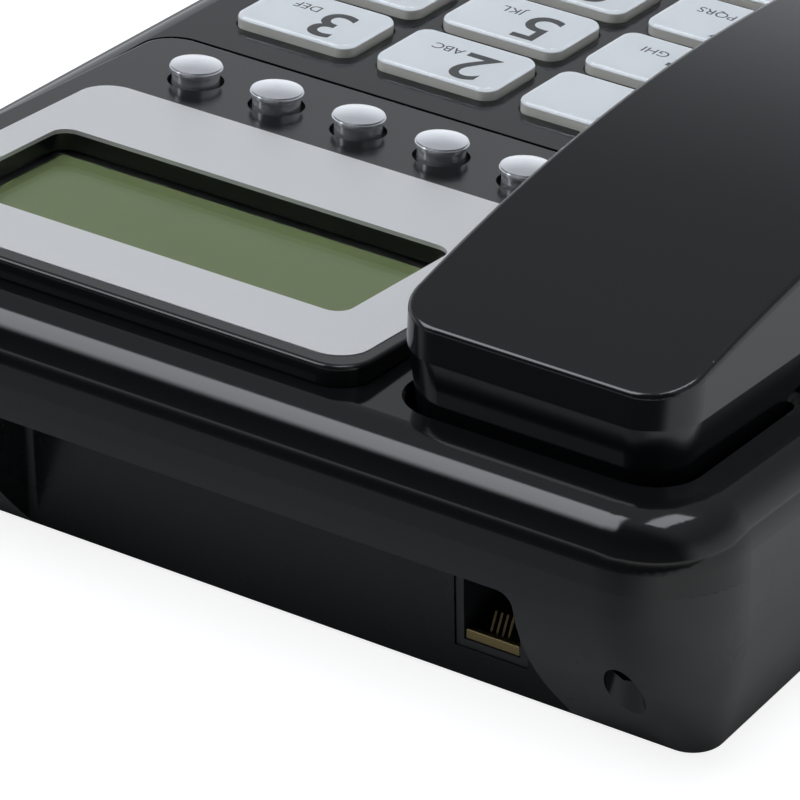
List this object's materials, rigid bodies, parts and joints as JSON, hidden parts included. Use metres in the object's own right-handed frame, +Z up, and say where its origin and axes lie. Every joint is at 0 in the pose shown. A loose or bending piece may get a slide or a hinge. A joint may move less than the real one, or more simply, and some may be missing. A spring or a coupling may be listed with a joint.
{
  "type": "corded telephone",
  "caption": "Desk telephone with a lift-off handset in a cradle, number keys, a raised display module with round buttons, and sockets for the line and the handset cord.",
  "frame": {"origin": "middle of the base's bounding rectangle, on the surface that the feet stand on", "axes": "+X to the user's right, +Y to the rear edge, +Z up"},
  "size_m": [0.168, 0.217, 0.0676],
  "materials": {
    "cover_gloss": "polished black plastic",
    "housing_satin": "smooth black plastic",
    "bezel_gloss": "polished black plastic",
    "plate_silver": "fine satin silver",
    "window_clear": "clear",
    "lcd_green": "grey-green display glass",
    "inner_plastic": "moulded",
    "board_green": "lacquered board",
    "mat_rubber": "silicone rubber",
    "key_clear": "clear moulded",
    "key_white": "white",
    "button_chrome": "plated",
    "function_grey": "silver grey",
    "speaker_metal": "dark",
    "jack_plastic": "moulded",
    "foot_rubber": "matt",
    "steel": "zinc plated",
    "cell_wrap": "plain sleeve",
    "handset_gloss": "polished black plastic"
  },
  "bodies": {
    "base": {"top_cover": "cover_gloss", "bottom_cover": "housing_satin", "display_bezel": "bezel_gloss", "display_plate": "plate_silver", "lcd_window": "window_clear", "lcd_panel": "lcd_green", "lcd_holder": "inner_plastic", "display_board": "board_green", "main_board": "board_green", "key_board": "board_green", "keypad_membrane": "mat_rubber", "hook_switch": "inner_plastic", "speaker": "speaker_metal", "line_jack": "jack_plastic", "cord_jack": "jack_plastic", "rubber_feet": "foot_rubber", "case_screws": "steel", "batteries": "cell_wrap"},
    "key_1": {"key_cap_1": "key_clear", "key_insert_1": "key_white"},
    "key_2": {"key_cap_2": "key_clear", "key_insert_2": "key_white"},
    "key_3": {"key_cap_3": "key_clear", "key_insert_3": "key_white"},
    "key_4": {"key_cap_4": "key_clear", "key_insert_4": "key_white"},
    "key_5": {"key_cap_5": "key_clear", "key_insert_5": "key_white"},
    "key_6": {"key_cap_6": "key_clear", "key_insert_6": "key_white"},
    "key_7": {"key_cap_7": "key_clear", "key_insert_7": "key_white"},
    "key_8": {"key_cap_8": "key_clear", "key_insert_8": "key_white"},
    "key_9": {"key_cap_9": "key_clear", "key_insert_9": "key_white"},
    "key_star": {"key_cap_star": "key_clear", "key_insert_star": "key_white"},
    "key_0": {"key_cap_0": "key_clear", "key_insert_0": "key_white"},
    "key_hash": {"key_cap_hash": "key_clear", "key_insert_hash": "key_white"},
    "round_button_1": {"round_button_1": "button_chrome"},
    "round_button_2": {"round_button_2": "button_chrome"},
    "round_button_3": {"round_button_3": "button_chrome"},
    "round_button_4": {"round_button_4": "button_chrome"},
    "round_button_5": {"round_button_5": "button_chrome"},
    "function_key_1": {"function_key_1": "function_grey"},
    "function_key_2": {"function_key_2": "function_grey"},
    "function_key_3": {"function_key_3": "function_grey"},
    "handset": {"handset_upper": "handset_gloss", "handset_lower": "handset_gloss", "handset_screws": "steel", "receiver_capsule": "speaker_metal", "microphone": "speaker_metal", "handset_weight": "steel", "handset_socket": "jack_plastic"},
    "hook_plunger": {"hook_plunger": "inner_plastic"},
    "battery_door": {"battery_door": "housing_satin"},
    "ringer_switch": {"ringer_switch": "inner_plastic"}
  },
  "joints": [
    {"name": "key_1_press", "type": "slide", "parent": "base", "child": "key_1", "axis": [0, 0.0896, -0.996], "range_m": [0, 0.0015], "stiffness_N_per_m": 400, "springref_m": -0.0005, "deforming": ["keypad_membrane"]},
    {"name": "key_2_press", "type": "slide", "parent": "base", "child": "key_2", "axis": [0, 0.0896, -0.996], "range_m": [0, 0.0015], "stiffness_N_per_m": 400, "springref_m": -0.0005, "deforming": ["keypad_membrane"]},
    {"name": "key_3_press", "type": "slide", "parent": "base", "child": "key_3", "axis": [0, 0.0896, -0.996], "range_m": [0, 0.0015], "stiffness_N_per_m": 400, "springref_m": -0.0005, "deforming": ["keypad_membrane"]},
    {"name": "key_4_press", "type": "slide", "parent": "base", "child": "key_4", "axis": [0, 0.0896, -0.996], "range_m": [0, 0.0015], "stiffness_N_per_m": 400, "springref_m": -0.0005, "deforming": ["keypad_membrane"]},
    {"name": "key_5_press", "type": "slide", "parent": "base", "child": "key_5", "axis": [0, 0.0896, -0.996], "range_m": [0, 0.0015], "stiffness_N_per_m": 400, "springref_m": -0.0005, "deforming": ["keypad_membrane"]},
    {"name": "key_6_press", "type": "slide", "parent": "base", "child": "key_6", "axis": [0, 0.0896, -0.996], "range_m": [0, 0.0015], "stiffness_N_per_m": 400, "springref_m": -0.0005, "deforming": ["keypad_membrane"]},
    {"name": "key_7_press", "type": "slide", "parent": "base", "child": "key_7", "axis": [0, 0.0896, -0.996], "range_m": [0, 0.0015], "stiffness_N_per_m": 400, "springref_m": -0.0005, "deforming": ["keypad_membrane"]},
    {"name": "key_8_press", "type": "slide", "parent": "base", "child": "key_8", "axis": [0, 0.0896, -0.996], "range_m": [0, 0.0015], "stiffness_N_per_m": 400, "springref_m": -0.0005, "deforming": ["keypad_membrane"]},
    {"name": "key_9_press", "type": "slide", "parent": "base", "child": "key_9", "axis": [0, 0.0896, -0.996], "range_m": [0, 0.0015], "stiffness_N_per_m": 400, "springref_m": -0.0005, "deforming": ["keypad_membrane"]},
    {"name": "key_star_press", "type": "slide", "parent": "base", "child": "key_star", "axis": [0, 0.0896, -0.996], "range_m": [0, 0.0015], "stiffness_N_per_m": 400, "springref_m": -0.0005, "deforming": ["keypad_membrane"]},
    {"name": "key_0_press", "type": "slide", "parent": "base", "child": "key_0", "axis": [0, 0.0896, -0.996], "range_m": [0, 0.0015], "stiffness_N_per_m": 400, "springref_m": -0.0005, "deforming": ["keypad_membrane"]},
    {"name": "key_hash_press", "type": "slide", "parent": "base", "child": "key_hash", "axis": [0, 0.0896, -0.996], "range_m": [0, 0.0015], "stiffness_N_per_m": 400, "springref_m": -0.0005, "deforming": ["keypad_membrane"]},
    {"name": "round_button_1_press", "type": "slide", "parent": "base", "child": "round_button_1", "axis": [0, 0.129, -0.9916], "range_m": [0, 0.0012], "stiffness_N_per_m": 400, "springref_m": -0.0005},
    {"name": "round_button_2_press", "type": "slide", "parent": "base", "child": "round_button_2", "axis": [0, 0.129, -0.9916], "range_m": [0, 0.0012], "stiffness_N_per_m": 400, "springref_m": -0.0005},
    {"name": "round_button_3_press", "type": "slide", "parent": "base", "child": "round_button_3", "axis": [0, 0.129, -0.9916], "range_m": [0, 0.0012], "stiffness_N_per_m": 400, "springref_m": -0.0005},
    {"name": "round_button_4_press", "type": "slide", "parent": "base", "child": "round_button_4", "axis": [0, 0.129, -0.9916], "range_m": [0, 0.0012], "stiffness_N_per_m": 400, "springref_m": -0.0005},
    {"name": "round_button_5_press", "type": "slide", "parent": "base", "child": "round_button_5", "axis": [0, 0.129, -0.9916], "range_m": [0, 0.0012], "stiffness_N_per_m": 400, "springref_m": -0.0005},
    {"name": "function_key_1_press", "type": "slide", "parent": "base", "child": "function_key_1", "axis": [0, 0.0896, -0.996], "range_m": [0, 0.0015], "stiffness_N_per_m": 400, "springref_m": -0.0005, "deforming": ["keypad_membrane"]},
    {"name": "function_key_2_press", "type": "slide", "parent": "base", "child": "function_key_2", "axis": [0, 0.0896, -0.996], "range_m": [0, 0.0015], "stiffness_N_per_m": 400, "springref_m": -0.0005, "deforming": ["keypad_membrane"]},
    {"name": "function_key_3_press", "type": "slide", "parent": "base", "child": "function_key_3", "axis": [0, 0.0896, -0.996], "range_m": [0, 0.0015], "stiffness_N_per_m": 400, "springref_m": -0.0005, "deforming": ["keypad_membrane"]},
    {"name": "handset_lift", "type": "slide", "parent": "base", "child": "handset", "axis": [0, -0.0896, 0.996], "range_m": [0, 0.06]},
    {"name": "hook_plunger_rise", "type": "slide", "parent": "base", "child": "hook_plunger", "axis": [0, -0.0896, 0.996], "range_m": [0, 0.004]},
    {"name": "battery_door_drop", "type": "slide", "parent": "base", "child": "battery_door", "axis": [0, 0, -1], "range_m": [0, 0.012]},
    {"name": "ringer_switch_slide", "type": "slide", "parent": "base", "child": "ringer_switch", "axis": [0, 1, 0], "range_m": [-0.002, 0.002]}
  ],
  "couplings": [
    {"joint": "hook_plunger_rise", "follows": "handset_lift", "ratio": 0.0666}
  ]
}
